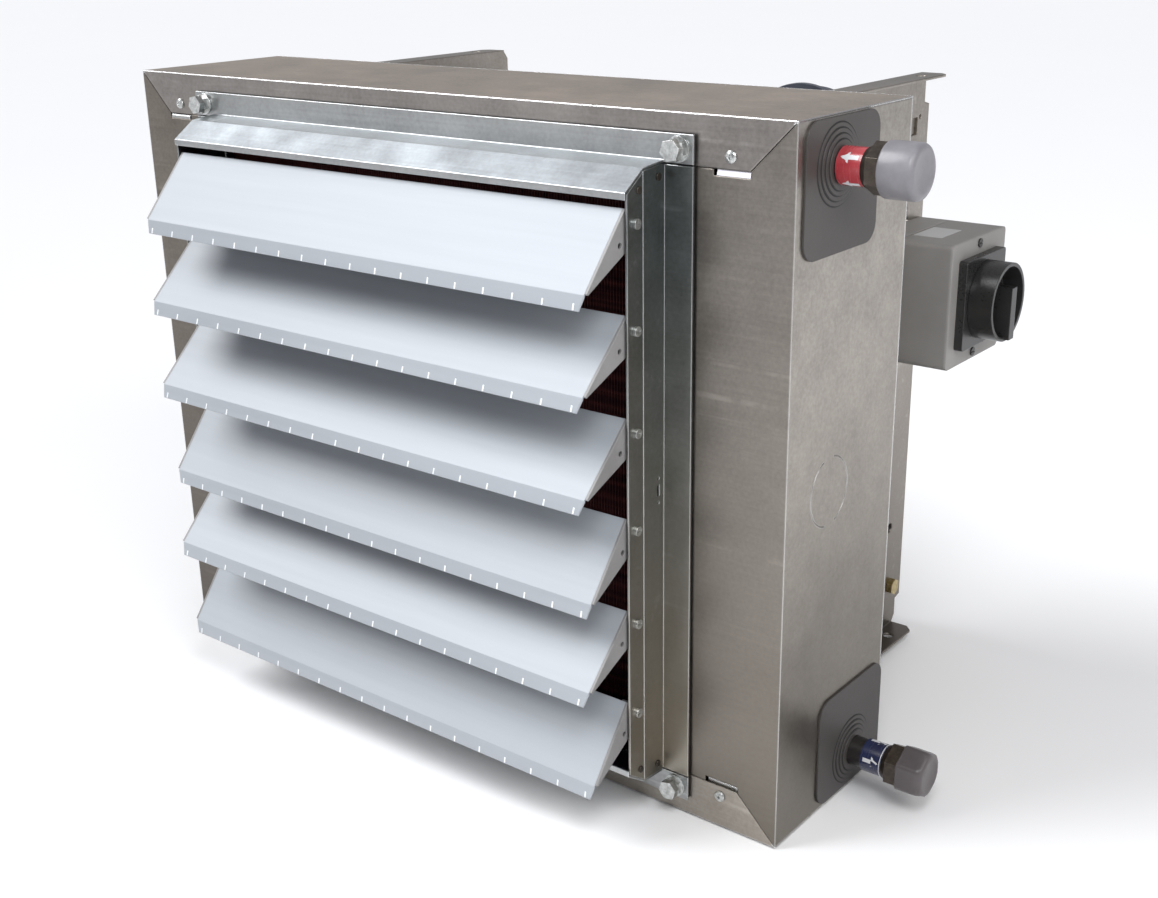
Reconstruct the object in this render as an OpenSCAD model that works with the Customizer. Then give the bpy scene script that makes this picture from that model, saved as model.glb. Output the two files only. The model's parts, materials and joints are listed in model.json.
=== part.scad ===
// Hot-water fan convector heater with an adjustable louvre, a service switch and two wall brackets.
// All sizes are in millimetres. The wall is the plane y = 0 and the warm air leaves towards -Y.
// X runs across the heater, +Z is up, and z = 0 is half the height of the casing.

/* [Casing] */
// Width of the casing
body_w = 640; // [620:10:680]
// Height of the casing
body_h = 510; // [506:2:520]
// Depth of the casing from front to back
body_d = 150; // [150:2:160]
// Distance from the wall to the back of the casing
wall_gap = 220; // [220:5:240]
// Thickness of the casing sheet
sheet_t = 1.2; // [1:0.1:1.4]
// Height of the front flanges on the top and bottom panels
rim_h = 33; // [32:0.5:34]
// Half width of the front opening
mouth_x = 230; // [228:1:231]

/* [Louvre] */
// Distance between two slats
slat_pitch = 70; // [69:0.5:71]
// Half length of a slat with its caps
slat_half = 222; // [218:0.5:222]
// Angle of the top slat below level
drop_1 = 37; // [0:1:58]
// Angle of the second slat
drop_2 = 32; // [0:1:58]
// Angle of the third slat
drop_3 = 32; // [0:1:58]
// Angle of the fourth slat
drop_4 = 40; // [0:1:58]
// Angle of the fifth slat
drop_5 = 34; // [0:1:58]
// Angle of the bottom slat
drop_6 = 41; // [0:1:58]
// Thickness of the slat sheet
slat_t = 1.2; // [1:0.1:1.4]
// Radius of a pivot screw
pivot_r = 2.4; // [2:0.1:2.6]

/* [Heat exchanger] */
// Number of hairpin tubes
hairpin_count = 9; // [5:1:9]
// Outer radius of a hairpin tube
tube_r = 7.5; // [6:0.5:8]
// Number of fins
fin_count = 20; // [10:1:24]
// Outer radius of the connecting pipes
pipe_r = 11; // [10:0.5:11]

/* [Fan] */
// Radius of the fan blades
fan_r = 172; // [160:1:174]
// Number of blades
blade_count = 5; // [3:1:7]
// Slope of the blades
blade_slope = 30; // [20:1:32]
// Number of rings in the wire guard
guard_rings = 7; // [5:1:8]

/* [Service switch] */
// Turn of the rotary handle
handle_turn = 0; // [0:5:90]
// Radius of the rotary handle
handle_r = 31.5; // [28:0.5:34]

/* [Part shown] */
// Name of the part to draw, or all

/* [Hidden] */
$fn = 48;
hw = body_w / 2;
hh = body_h / 2;
back_y = -wall_gap;
front_y = back_y - body_d;
seat_y = front_y - 2;
face_y = seat_y - 1.5;
frame_x = 247;
frame_z = 242;
web_in = 223.5;
web_out = 225;
fold_z = 223;
pivot_y = front_y - 35;
pivot_z = 188.7;
drops = [drop_1, drop_2, drop_3, drop_4, drop_5, drop_6];
rivet_spots = [[front_y - 10.5, 215], [front_y - 31.6, 209.5]];
screw_r = 1.75;
screw_hole = 2.05;
corner_screw = [273, 230];
bolt_spot = [236, 232.5];
ring_r = 178;
mid_guard = back_y + 67;
flow_y = back_y - 102;
flow_z = 223;
return_y = back_y - 46;
return_z = -223;
header_x = 284;
coil_low = back_y - 126;
coil_high = back_y - 22;
hairpin_step = 368 / (hairpin_count - 1);
return_out = 10;
bracket_x = 227;
bracket_h = 248;
switch_y = -51;
switch_z = 79;
box_x = 130;
box_z = 182;

// ---------- shared shapes ----------

// Block between two opposite corners
module block(low, high) {
    translate(low)
        cube(high - low);
}

// Round bar along X
module bar_x(x1, x2, r, y, z) {
    translate([x1, y, z])
        rotate([0, 90, 0])
            cylinder(h = x2 - x1, r = r);
}

// Round bar along Y
module bar_y(y1, y2, r, x, z) {
    translate([x, y1, z])
        rotate([-90, 0, 0])
            cylinder(h = y2 - y1, r = r);
}

// Outline in Y and Z drawn out along X
module along_x(x1, x2, outline) {
    translate([x1, 0, 0])
        rotate([90, 0, 90])
            linear_extrude(height = x2 - x1)
                polygon(outline);
}

// Outline in X and Z drawn out along Y
module along_y(y1, y2, outline) {
    translate([0, y2, 0])
        rotate([90, 0, 0])
            linear_extrude(height = y2 - y1)
                polygon(outline);
}

// Block along X with its four long edges rounded
module soft_block_x(low, high, r) {
    block([low[0], low[1] + r, low[2]], [high[0], high[1] - r, high[2]]);
    block([low[0], low[1], low[2] + r], [high[0], high[1], high[2] - r]);
    for (y = [low[1] + r, high[1] - r])
        for (z = [low[2] + r, high[2] - r])
            bar_x(low[0], high[0], r, y, z);
}

// Copies at plus and minus X
module both_sides() {
    for (s = [0, 1])
        mirror([s, 0, 0])
            children();
}

// Copies at plus and minus Z
module top_and_bottom() {
    for (s = [0, 1])
        mirror([0, 0, s])
            children();
}

// Pan-head screw along Y with its head at the given end, side = -1 for a head towards -Y
module pan_screw(x, y, z, long, side) {
    y1 = side < 0 ? y : y - long;
    bar_y(y1, y1 + long, screw_r, x, z);
    translate([x, y, z])
        rotate([side < 0 ? 90 : -90, 0, 0])
            difference() {
                union() {
                    cylinder(h = 0.9, r = 4.2);
                    translate([0, 0, 0.9])
                        cylinder(h = 0.8, r1 = 4.2, r2 = 3.5);
                    translate([0, 0, 1.7])
                        cylinder(h = 0.6, r1 = 3.5, r2 = 2);
                }
                translate([-1.6, -0.35, 1.4])
                    cube([3.2, 0.7, 2]);
                translate([-0.35, -1.6, 1.4])
                    cube([0.7, 3.2, 2]);
            }
}

// Hexagon of a given width over flats, drawn out along X
module hex_x(x1, x2, flats, y, z) {
    translate([x1, y, z])
        rotate([0, 90, 0])
            cylinder(h = x2 - x1, r = flats / sqrt(3), $fn = 6);
}

// ---------- casing ----------

// Places of the screws on the back of the casing, as X and Z
function back_spots() = concat(
    [for (x = [-200, 200]) for (s = [-1, 1]) [x, s * (hh - 9)]],
    [for (z = [-150, 150]) for (s = [-1, 1]) [s * (hw - 9), z]]
);

// Places of the screws that hold the brackets to the rear panel
function bracket_spots() = [for (z = [-180, -60, 60, 180]) for (s = [-1, 1]) [s * 216, z]];

// Places of the screws that hold the inlet ring
function ring_spots() = [for (i = [0 : 5]) [191 * cos(60 * i + 30), 191 * sin(60 * i + 30)]];

// Top panel with its mitred front flange and its rear flange
module panel_cover() {
    difference() {
        union() {
            block([-hw, front_y, hh - sheet_t], [hw, back_y - sheet_t, hh]);
            along_y(front_y, front_y + sheet_t, [
                [-hw, hh],
                [hw, hh],
                [hw - rim_h, hh - rim_h],
                [rim_h - hw, hh - rim_h]
            ]);
            block([20 - hw, back_y - 2 * sheet_t, hh - 17], [hw - 20, back_y - sheet_t, hh]);
        }
        for (s = [-1, 1])
            bar_y(front_y - 1, front_y + 3, screw_hole, s * corner_screw[0], corner_screw[1]);
        for (s = [-1, 1])
            bar_y(front_y - 1, front_y + 3, 4.5, s * bolt_spot[0], bolt_spot[1]);
        for (s = [-1, 1])
            bar_y(back_y - 4, back_y, screw_hole, s * 200, hh - 9);
    }
}

// Side panel at plus X with its wide front flange, joint tabs and rear flange
module panel_side() {
    step = hw - rim_h;
    difference() {
        union() {
            block([hw - sheet_t, front_y, sheet_t - hh], [hw, back_y - sheet_t, hh - sheet_t]);
            along_y(front_y, front_y + sheet_t, [
                [hw, sheet_t - hh],
                [hw, hh - sheet_t],
                [hw - sheet_t + 0.8, hh - sheet_t],
                [step + 0.8, hh - rim_h],
                [step + 0.8, hh - rim_h - 4.5],
                [260, hh - rim_h - 4.5],
                [260, hh - rim_h - 0.5],
                [mouth_x, hh - rim_h - 0.5],
                [mouth_x, rim_h + 0.5 - hh],
                [260, rim_h + 0.5 - hh],
                [260, rim_h + 4.5 - hh],
                [step + 0.8, rim_h + 4.5 - hh],
                [step + 0.8, rim_h - hh],
                [hw - sheet_t + 0.8, sheet_t - hh]
            ]);
            top_and_bottom() {
                block([262, front_y + sheet_t, hh - rim_h - 12], [284, front_y + 2 * sheet_t, hh - 12]);
                block([262, front_y + 0.2, hh - rim_h - 12], [284, front_y + 2 * sheet_t, hh - rim_h - 5.5]);
            }
            block([hw - 17, back_y - 2 * sheet_t, 20 - hh], [hw, back_y - sheet_t, hh - 20]);
        }
        for (s = [-1, 1])
            bar_y(front_y - 1, front_y + 3, screw_hole, corner_screw[0], s * corner_screw[1]);
        for (s = [-1, 1])
            bar_y(back_y - 4, back_y, screw_hole, hw - 9, s * 150);
    }
}

module top_panel() {
    color([0.72, 0.71, 0.69])
        panel_cover();
}

module bottom_panel() {
    color([0.72, 0.71, 0.69])
        mirror([0, 0, 1])
            panel_cover();
}

module left_panel() {
    color([0.7, 0.69, 0.67])
        mirror([1, 0, 0])
            panel_side();
}

// Right panel with the pipe openings and a half-cut round knock-out
module right_panel() {
    color([0.7, 0.69, 0.67])
        difference() {
            panel_side();
            bar_x(hw - 5, hw + 5, 30, flow_y, 213);
            bar_x(hw - 5, hw + 5, 30, return_y - 4, -209);
            translate([hw - 0.6, front_y + 57, 0])
                for (a = [20, 200])
                    rotate([a, 0, 0])
                        rotate([0, 90, 0])
                            rotate_extrude(angle = 150)
                                translate([24.6, 0])
                                    square([0.8, 2]);
        }
}

// Rear panel with the round fan opening
module rear_panel() {
    color([0.68, 0.68, 0.67])
        difference() {
            block([-hw, back_y - sheet_t, -hh], [hw, back_y, hh]);
            bar_y(back_y - 5, back_y + 5, ring_r, 0, 0);
            for (p = concat(back_spots(), bracket_spots(), ring_spots()))
                bar_y(back_y - 5, back_y + 5, screw_hole, p[0], p[1]);
        }
}

// Screws of the casing corners, the rear panel, the brackets, the inlet ring and the fan guard
module sheet_screws() {
    color([0.78, 0.78, 0.76]) {
        for (sx = [-1, 1])
            for (sz = [-1, 1])
                pan_screw(sx * corner_screw[0], front_y, sz * corner_screw[1], 9, -1);
        for (p = back_spots())
            pan_screw(p[0], back_y, p[1], 9, 1);
        for (p = bracket_spots())
            pan_screw(p[0], back_y + 2, p[1], 11, 1);
        for (p = ring_spots())
            pan_screw(p[0], back_y + 1.5, p[1], 10, 1);
        for (a = [45 : 90 : 315])
            pan_screw(198 * cos(a), mid_guard + 1.5, 198 * sin(a), 10, 1);
    }
}

// ---------- louvre frame ----------

// Sealing strip between the frame and the casing
module frame_gasket() {
    color([0.1, 0.1, 0.11])
        difference() {
            block([-246, seat_y, -241], [246, front_y, 241]);
            block([-mouth_x, seat_y - 1, -222], [mouth_x, front_y + 1, 222]);
            for (sx = [-1, 1])
                for (sz = [-1, 1])
                    bar_y(seat_y - 1, front_y + 1, 4.5, sx * bolt_spot[0], sz * bolt_spot[1]);
        }
}

// Top member: flange, two-plane hood with a lip, and a riveted tab at each end
module frame_hood() {
    difference() {
        union() {
            block([-frame_x, face_y, fold_z + 0.2], [frame_x, seat_y, frame_z]);
            along_x(-224.5, 224.5, [
                [seat_y, fold_z + 0.2],
                [seat_y, fold_z + 1.8],
                [face_y, fold_z + 1.8],
                [front_y - 26.4, 222.8],
                [front_y - 45.7, 209.6],
                [front_y - 45.7, 205],
                [front_y - 44.2, 205],
                [front_y - 44.2, 208.8],
                [front_y - 25.9, 221.3]
            ]);
            both_sides()
                along_x(222, web_in, [
                    [front_y - 5, 204],
                    [front_y - 5, fold_z],
                    [front_y - 25.9, 221.5],
                    [front_y - 40, 211.8],
                    [front_y - 40, 204]
                ]);
        }
        for (s = [-1, 1])
            bar_y(face_y - 1, seat_y + 1, 4.5, s * bolt_spot[0], bolt_spot[1]);
        for (p = rivet_spots)
            bar_x(-230, 230, 1.8, p[0], p[1]);
    }
}

// Side member at plus X: flange and web with the pivot holes
module frame_side() {
    difference() {
        union() {
            block([web_in, face_y, -222], [frame_x, seat_y, 222]);
            along_x(web_in, web_out, [
                [seat_y, 222],
                [seat_y, -222],
                [face_y, -222.7],
                [front_y - 26, -221],
                [front_y - 44, -208.5],
                [front_y - 44, 208.5],
                [front_y - 26, 221],
                [face_y, 222.7]
            ]);
        }
        for (i = [0 : 5])
            bar_x(web_in - 1, web_out + 1, pivot_r + 0.3, pivot_y, pivot_z - i * slat_pitch);
        for (p = rivet_spots)
            for (s = [-1, 1])
                bar_x(web_in - 1, web_out + 1, 1.8, p[0], s * p[1]);
        block([web_out - 0.5, front_y - 27.6, -230], [web_out + 1, front_y - 26.8, 230]);
        block([web_in - 1, front_y - 11.5, -4], [web_out + 1, front_y - 8.5, 4]);
        for (z = [-9, 9])
            bar_x(web_in - 1, web_out + 1, 1.2, front_y - 10, z);
    }
}

module frame_top() {
    color([0.66, 0.68, 0.66])
        frame_hood();
}

module frame_bottom() {
    color([0.66, 0.68, 0.66])
        mirror([0, 0, 1])
            frame_hood();
}

module frame_left() {
    color([0.5, 0.54, 0.53])
        mirror([1, 0, 0])
            frame_side();
}

module frame_right() {
    color([0.5, 0.54, 0.53])
        frame_side();
}

// Four bolts at the corners of the frame
module frame_bolts() {
    color([0.8, 0.8, 0.78])
        for (sx = [-1, 1])
            for (sz = [-1, 1])
                translate([sx * bolt_spot[0], face_y - 5.6, sz * bolt_spot[1]])
                    rotate([90, 0, 0]) {
                        rotate([0, 0, 12])
                            cylinder(h = 5.3, r = 13 / sqrt(3), $fn = 6);
                        translate([0, 0, -17])
                            cylinder(h = 17, r = 4);
                    }
}

module frame_nuts() {
    color([0.77, 0.77, 0.74])
        for (sx = [-1, 1])
            for (sz = [-1, 1])
                translate([sx * bolt_spot[0], face_y - 1.6, sz * bolt_spot[1]])
                    rotate([90, 0, 0])
                        difference() {
                            rotate([0, 0, 38])
                                cylinder(h = 4, r = 13 / sqrt(3), $fn = 6);
                            translate([0, 0, -1])
                                cylinder(h = 6, r = 4.3);
                        }
}

module frame_washers() {
    color([0.82, 0.82, 0.8])
        for (sx = [-1, 1])
            for (sz = [-1, 1])
                difference() {
                    bar_y(face_y - 1.6, face_y, 8.5, sx * bolt_spot[0], sz * bolt_spot[1]);
                    bar_y(face_y - 3, face_y + 1, 4.4, sx * bolt_spot[0], sz * bolt_spot[1]);
                }
}

// Small rivets where the members meet
module frame_rivets() {
    color([0.75, 0.76, 0.74])
        both_sides()
            top_and_bottom()
                for (p = rivet_spots) {
                    bar_x(221.4, web_out, 1.5, p[0], p[1]);
                    bar_x(web_out, web_out + 1, 2.5, p[0], p[1]);
                }
}

// Screws on which the slats turn
module pivot_screws() {
    color([0.85, 0.85, 0.84])
        both_sides()
            for (i = [0 : 5]) {
                z = pivot_z - i * slat_pitch;
                bar_x(slat_half - 9, web_out, pivot_r, pivot_y, z);
                difference() {
                    bar_x(web_out, web_out + 2.2, 3.4, pivot_y, z);
                    block([web_out + 1.3, pivot_y - 2.3, z - 0.4], [web_out + 4, pivot_y + 2.3, z + 0.4]);
                }
            }
}

// Turns a slat drawn with its nose along -Y to its own angle
module slat_place(i) {
    translate([0, pivot_y, pivot_z - i * slat_pitch])
        rotate([drops[i], 0, 0])
            children();
}

// Outline of a slat, its nose along -Y, with a lip bent down at the nose
function slat_outline() = [[1, 12.3], [-60.2, -1.2], [-68.6, -7.9], [-67.9, -8.8], [-59.5, -2.2], [-59, -2.6], [0, -12.8], [2.2, -11.6]];

// Outline of a slat's end cap, which stops behind the lip
function cap_outline() = [[1, 12.3], [-59.4, -1.02], [-59, -2.6], [0, -12.8], [2.2, -11.6]];

// Outline of the hollow in a slat
function slat_hollow() = [[0.1, 12.2 - slat_t - 0.3], [-54, 0.15 - slat_t - 0.1], [-54.5, -3.35 + slat_t], [-0.4, -12.8 + slat_t + 0.1], [0.8, -10.9]];

// Hollow slat between its two caps, cut away round their bosses, with slanted lip ends
module slat_body(i) {
    color([0.86, 0.88, 0.91])
        slat_place(i)
            difference() {
                along_x(2 - slat_half, slat_half - 2, slat_outline());
                along_x(-slat_half, slat_half, slat_hollow());
                both_sides() {
                    bar_x(slat_half - 12, slat_half, 5.5, 0, 0);
                    translate([0, 0, -12])
                        linear_extrude(height = 12)
                            polygon([[slat_half - 1.9, -60.4], [slat_half, -70], [slat_half - 5.5, -70]]);
                }
            }
}

// Two end caps with bored bosses for the pivot screws
module slat_caps(i) {
    color([0.62, 0.64, 0.66])
        slat_place(i)
            both_sides()
                difference() {
                    union() {
                        along_x(slat_half - 2, slat_half, cap_outline());
                        bar_x(slat_half - 11, slat_half - 1, 5.2, 0, 0);
                    }
                    bar_x(slat_half - 12, slat_half + 1, pivot_r + 0.08, 0, 0);
                    bar_x(slat_half - 3, slat_half + 1, 2, -17.5, -2.2);
                }
}

// ---------- heat exchanger ----------

// Holes for the hairpin tubes, from x1 to x2
module tube_holes(x1, x2) {
    for (i = [0 : hairpin_count - 1])
        for (y = [flow_y, return_y])
            bar_x(x1, x2, tube_r + 0.3, y, i * hairpin_step - 184);
}

module coil_fins() {
    color([0.45, 0.24, 0.2])
        for (i = [0 : fin_count - 1]) {
            x = 480 * i / (fin_count - 1) - 240;
            difference() {
                block([x - 0.3, coil_low, -207], [x + 0.3, coil_high, 207]);
                tube_holes(x - 1, x + 1);
            }
        }
}

// Copper tubes, each running out and back
module coil_hairpins() {
    bend_r = (return_y - flow_y) / 2;
    color([0.72, 0.42, 0.3])
        for (i = [0 : hairpin_count - 1])
            translate([0, 0, i * hairpin_step - 184])
                difference() {
                    union() {
                        for (y = [flow_y, return_y])
                            bar_x(-258, 268.5, tube_r, y, 0);
                        translate([-258, (flow_y + return_y) / 2, 0])
                            rotate([0, 0, 90])
                                rotate_extrude(angle = 180)
                                    translate([bend_r, 0])
                                        circle(r = tube_r);
                    }
                    for (y = [flow_y, return_y])
                        bar_x(-258, 269, tube_r - 0.9, y, 0);
                    translate([-258, (flow_y + return_y) / 2, 0])
                        rotate([0, 0, 90])
                            rotate_extrude(angle = 180)
                                translate([bend_r, 0])
                                    circle(r = tube_r - 0.9);
                }
}

// End plates that carry the coil, with a foot against the top and the bottom panel
module coil_plates() {
    color([0.66, 0.66, 0.65])
        both_sides()
            difference() {
                union() {
                    block([250.5, coil_low, sheet_t - hh], [252, coil_high, hh - sheet_t]);
                    top_and_bottom()
                        block([250.5, coil_low, hh - sheet_t - 1.5], [266, coil_high, hh - sheet_t]);
                }
                tube_holes(249, 254);
            }
}

// Upright header with a socket for each tube and a pipe through the side panel
module header_set(y, end_z, pipe_z, pipe_end) {
    low = end_z < 0 ? end_z : -198;
    high = end_z < 0 ? 198 : end_z;
    difference() {
        union() {
            translate([header_x, y, low])
                cylinder(h = high - low, r = 14);
            bar_x(header_x, pipe_end, pipe_r, y, pipe_z);
            for (i = [0 : hairpin_count - 1])
                bar_x(260, header_x, tube_r + 2, y, i * hairpin_step - 184);
        }
        translate([header_x, y, low + 2])
            cylinder(h = high - low - 4, r = 12.4);
        bar_x(header_x, pipe_end + 1, pipe_r - 1.4, y, pipe_z);
        for (i = [0 : hairpin_count - 1]) {
            bar_x(259, 269, tube_r + 0.3, y, i * hairpin_step - 184);
            bar_x(259, header_x, tube_r - 1.2, y, i * hairpin_step - 184);
        }
    }
}

module flow_header() {
    color([0.2, 0.18, 0.17])
        header_set(flow_y, 240, flow_z, hw + 31);
}

module return_header() {
    color([0.2, 0.18, 0.17])
        header_set(return_y, -240, return_z, hw + 31 + return_out);
}

// Rubber plate with stepped rings round the pipe
module grommet(low_y, high_y, low_z, high_z, y, z) {
    difference() {
        union() {
            soft_block_x([hw, low_y, low_z], [hw + 1.6, high_y, high_z], 13);
            for (k = [0 : 3])
                bar_x(hw, hw + 2.2 + 0.9 * k, 26 - 3.4 * k, y, z);
        }
        bar_x(hw - 1, hw + 9, pipe_r + 0.3, y, z);
    }
}

module pipe_grommets() {
    color([0.2, 0.2, 0.21]) {
        grommet(front_y + 8.5, front_y + 102, 166, 253, flow_y, flow_z);
        grommet(back_y - 94, back_y - 1, -252, -166, return_y, return_z);
    }
}

// Hexagon union with a shoulder and a male thread
module union_part(x, y, z) {
    difference() {
        union() {
            translate([x, y, z])
                rotate([0, 90, 0])
                    cylinder(h = 4, r1 = 12.6, r2 = 14.6);
            hex_x(x + 4, x + 13, 29, y, z);
            bar_x(x + 13, x + 29, 13.2, y, z);
        }
        bar_x(x - 1, x + 8.3, pipe_r + 0.3, y, z);
        bar_x(x, x + 30, 9.3, y, z);
    }
}

module pipe_unions() {
    color([0.3, 0.27, 0.25]) {
        union_part(hw + 23, flow_y, flow_z);
        union_part(hw + 23 + return_out, return_y, return_z);
    }
}

// Coloured sleeve on a pipe
module band(x, y, z) {
    difference() {
        bar_x(x, x + 17, pipe_r + 1.3, y, z);
        bar_x(x - 1, x + 18, pipe_r + 0.3, y, z);
    }
}

module flow_band() {
    color([0.78, 0.16, 0.17])
        band(hw + 6, flow_y, flow_z);
}

module return_band() {
    color([0.16, 0.18, 0.36])
        band(hw + 6 + return_out, return_y, return_z);
}

// Round protective cap
module flow_cap() {
    color([0.6, 0.6, 0.62])
        difference() {
            union() {
                bar_x(hw + 36.3, hw + 58, 18, flow_y, flow_z);
                translate([hw + 58, flow_y, flow_z])
                    rotate([0, 90, 0])
                        cylinder(h = 2, r1 = 18, r2 = 16);
            }
            bar_x(hw + 35, hw + 54, 13.5, flow_y, flow_z);
        }
}

// Six-sided protective cap
module return_cap() {
    x = hw + 36.3 + return_out;
    color([0.55, 0.55, 0.57])
        difference() {
            union() {
                hex_x(x, x + 19, 33, return_y, return_z);
                bar_x(x, x + 20.5, 16, return_y, return_z);
            }
            bar_x(x - 1, x + 17.7, 13.5, return_y, return_z);
        }
}

// ---------- fan ----------

// Sheet ring that guides the air to the blades
module inlet_ring() {
    color([0.6, 0.6, 0.6])
        difference() {
            translate([0, back_y, 0])
                rotate([-90, 0, 0])
                    rotate_extrude($fn = 96)
                        polygon([
                            [ring_r, 0],
                            [200, 0],
                            [200, 1.5],
                            [ring_r + 1.5, 1.5],
                            [ring_r + 1.5, 52],
                            [ring_r + 11, 63.5],
                            [206, 63.5],
                            [206, 65],
                            [ring_r + 10.3, 65],
                            [ring_r, 52.5]
                        ]);
            for (p = ring_spots())
                bar_y(back_y - 5, back_y + 5, screw_hole, p[0], p[1]);
            for (a = [45 : 90 : 315])
                bar_y(back_y + 60, back_y + 70, screw_hole, 198 * cos(a), 198 * sin(a));
        }
}

// Flat wire guard with a plate that carries the motor
module fan_guard() {
    step = 140 / guard_rings;
    color([0.15, 0.15, 0.16])
        difference() {
            union() {
                for (i = [1 : guard_rings])
                    translate([0, mid_guard, 0])
                        rotate([90, 0, 0])
                            rotate_extrude()
                                translate([46 + i * step, 0])
                                    circle(r = 1.4, $fn = 16);
                for (a = [0 : 45 : 315])
                    rotate([0, -a, 0])
                        bar_x(44, 186, 1.7, mid_guard, 0);
                bar_y(mid_guard - 2, mid_guard + 1, 50, 0, 0);
                for (a = [45 : 90 : 315])
                    rotate([0, -a, 0])
                        block([180, mid_guard - 2, -8], [206, mid_guard + 1.5, 8]);
            }
            for (a = [45 : 90 : 315])
                bar_y(mid_guard - 4, mid_guard + 4, screw_hole, 198 * cos(a), 198 * sin(a));
            for (a = [0 : 90 : 270])
                bar_y(mid_guard - 4, mid_guard + 4, 2.3, 30 * cos(a), 30 * sin(a));
        }
}

// Fixed part of the outer-rotor motor
module motor_stator() {
    y = mid_guard - 2;
    color([0.3, 0.3, 0.32])
        difference() {
            union() {
                bar_y(y - 12, y, 46, 0, 0);
                bar_y(y - 64, y - 12, 15, 0, 0);
                bar_y(y - 60, y - 22, 42, 0, 0);
            }
            bar_y(y - 66, y - 5, 10.3, 0, 0);
            for (a = [0 : 90 : 270])
                bar_y(y - 10, y + 1, 2.3, 30 * cos(a), 30 * sin(a));
        }
}

module motor_bearings() {
    y = mid_guard - 2;
    color([0.8, 0.8, 0.82])
        for (start = [y - 64, y - 13])
            difference() {
                bar_y(start, start + 8, 10, 0, 0);
                bar_y(start - 1, start + 9, 5.08, 0, 0);
            }
}

module motor_screws() {
    y = mid_guard + 1;
    color([0.78, 0.78, 0.76])
        for (a = [0 : 90 : 270]) {
            bar_y(y - 11, y, 2, 30 * cos(a), 30 * sin(a));
            difference() {
                bar_y(y, y + 3, 3.6, 30 * cos(a), 30 * sin(a));
                translate([30 * cos(a), y + 4, 30 * sin(a)])
                    rotate([90, 0, 0])
                        cylinder(h = 3, r = 1.7, $fn = 6);
            }
        }
}

module fan_shaft() {
    color([0.75, 0.75, 0.77])
        bar_y(mid_guard - 72, mid_guard - 9, 5, 0, 0);
}

// Turning cup of the motor
module motor_rotor() {
    y = mid_guard - 2;
    color([0.22, 0.22, 0.23])
        difference() {
            bar_y(y - 73, y - 16, 49, 0, 0);
            bar_y(y - 70, y - 15, 45, 0, 0);
        }
}

// Hub and blades
module fan_impeller() {
    y = mid_guard - 2;
    color([0.16, 0.16, 0.17])
        difference() {
            union() {
                bar_y(y - 76, y - 20, 55, 0, 0);
                intersection() {
                    bar_y(back_y - 20, back_y + 60, fan_r, 0, 0);
                    for (i = [0 : blade_count - 1])
                        rotate([0, i * 360 / blade_count, 0])
                            translate([0, back_y + 22, 0])
                                rotate([blade_slope, 0, 0])
                                    block([50, -1.5, -42], [fan_r + 10, 1.5, 42]);
                }
            }
            bar_y(y - 73, y - 10, 49.3, 0, 0);
            bar_y(y - 80, y - 10, 20, 0, 0);
        }
}

// ---------- brackets ----------

// Bracket at plus X: plate, outward flanges, inward flanges for the wall and for the casing
module bracket() {
    difference() {
        union() {
            along_x(bracket_x - 2, bracket_x, [
                [back_y, -bracket_h],
                [back_y, bracket_h],
                [-14, bracket_h],
                [-8, bracket_h - 8],
                [-8, 224],
                [0, 222],
                [0, -222],
                [-8, -224],
                [-8, 8 - bracket_h],
                [-14, -bracket_h]
            ]);
            for (s = [-1, 1])
                translate([0, 0, s * (bracket_h - 1)])
                    linear_extrude(height = 2, center = true)
                        polygon([
                            [bracket_x - 2, back_y],
                            [bracket_x + 22, back_y],
                            [bracket_x + 22, -19],
                            [bracket_x + 16, -13],
                            [bracket_x - 2, -13]
                        ]);
            block([bracket_x - 30, -2, -219], [bracket_x, 0, 219]);
            block([bracket_x - 21, back_y, -200], [bracket_x, back_y + 2, 200]);
        }
        for (z = [-175, 175])
            bar_y(-5, 5, 4.5, 210, z);
        for (y = [-190, -40])
            translate([238, y, -260])
                cylinder(h = 520, r = 4.5);
        for (z = [-180, -60, 60, 180])
            bar_y(back_y - 5, back_y + 5, screw_hole, 216, z);
        block([200, -34, 199], [250, -19, 213]);
        bar_x(200, 250, 1.8, -15, 213);
        bar_x(200, 250, 2.2, -31, 139);
        bar_x(200, 250, 1.8, -28, 130);
        bar_x(200, 250, 4.5, -27, -148);
        bar_x(bracket_x - 5, bracket_x + 5, 4.4, -20, -207);
        bar_x(bracket_x - 5, bracket_x + 5, 4.4, -64, 207);
        bar_x(bracket_x - 5, bracket_x + 5, 10.4, switch_y, switch_z);
    }
}

module bracket_left() {
    color([0.7, 0.69, 0.66])
        mirror([1, 0, 0])
            bracket();
}

module bracket_right() {
    color([0.7, 0.69, 0.66])
        bracket();
}

// Rails between the brackets, each with a folded ear at both ends
module rail(z, ear_y) {
    low = ear_y < -40 ? ear_y - 12 : -34;
    difference() {
        union() {
            block([2 - bracket_x, -12, z - 12], [bracket_x - 2, -10, z + 12]);
            block([-195, -12, z - 12], [195, -3, z - 10]);
            block([-195, -12, z + 10], [195, -3, z + 12]);
            both_sides()
                block([bracket_x - 4, low, z - 12], [bracket_x - 2, -10, z + 12]);
        }
        bar_x(-230, 230, 4.4, ear_y, z);
    }
}

module tie_rails() {
    color([0.68, 0.68, 0.66]) {
        rail(207, -64);
        rail(-207, -20);
    }
}

// Bolts through the brackets into the rails
module rail_bolts() {
    color([0.78, 0.68, 0.36])
        both_sides()
            for (p = [[-64, 207], [-20, -207]]) {
                hex_x(bracket_x, bracket_x + 5.3, 13, p[0], p[1]);
                bar_x(bracket_x - 14, bracket_x, 4, p[0], p[1]);
            }
}

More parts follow.
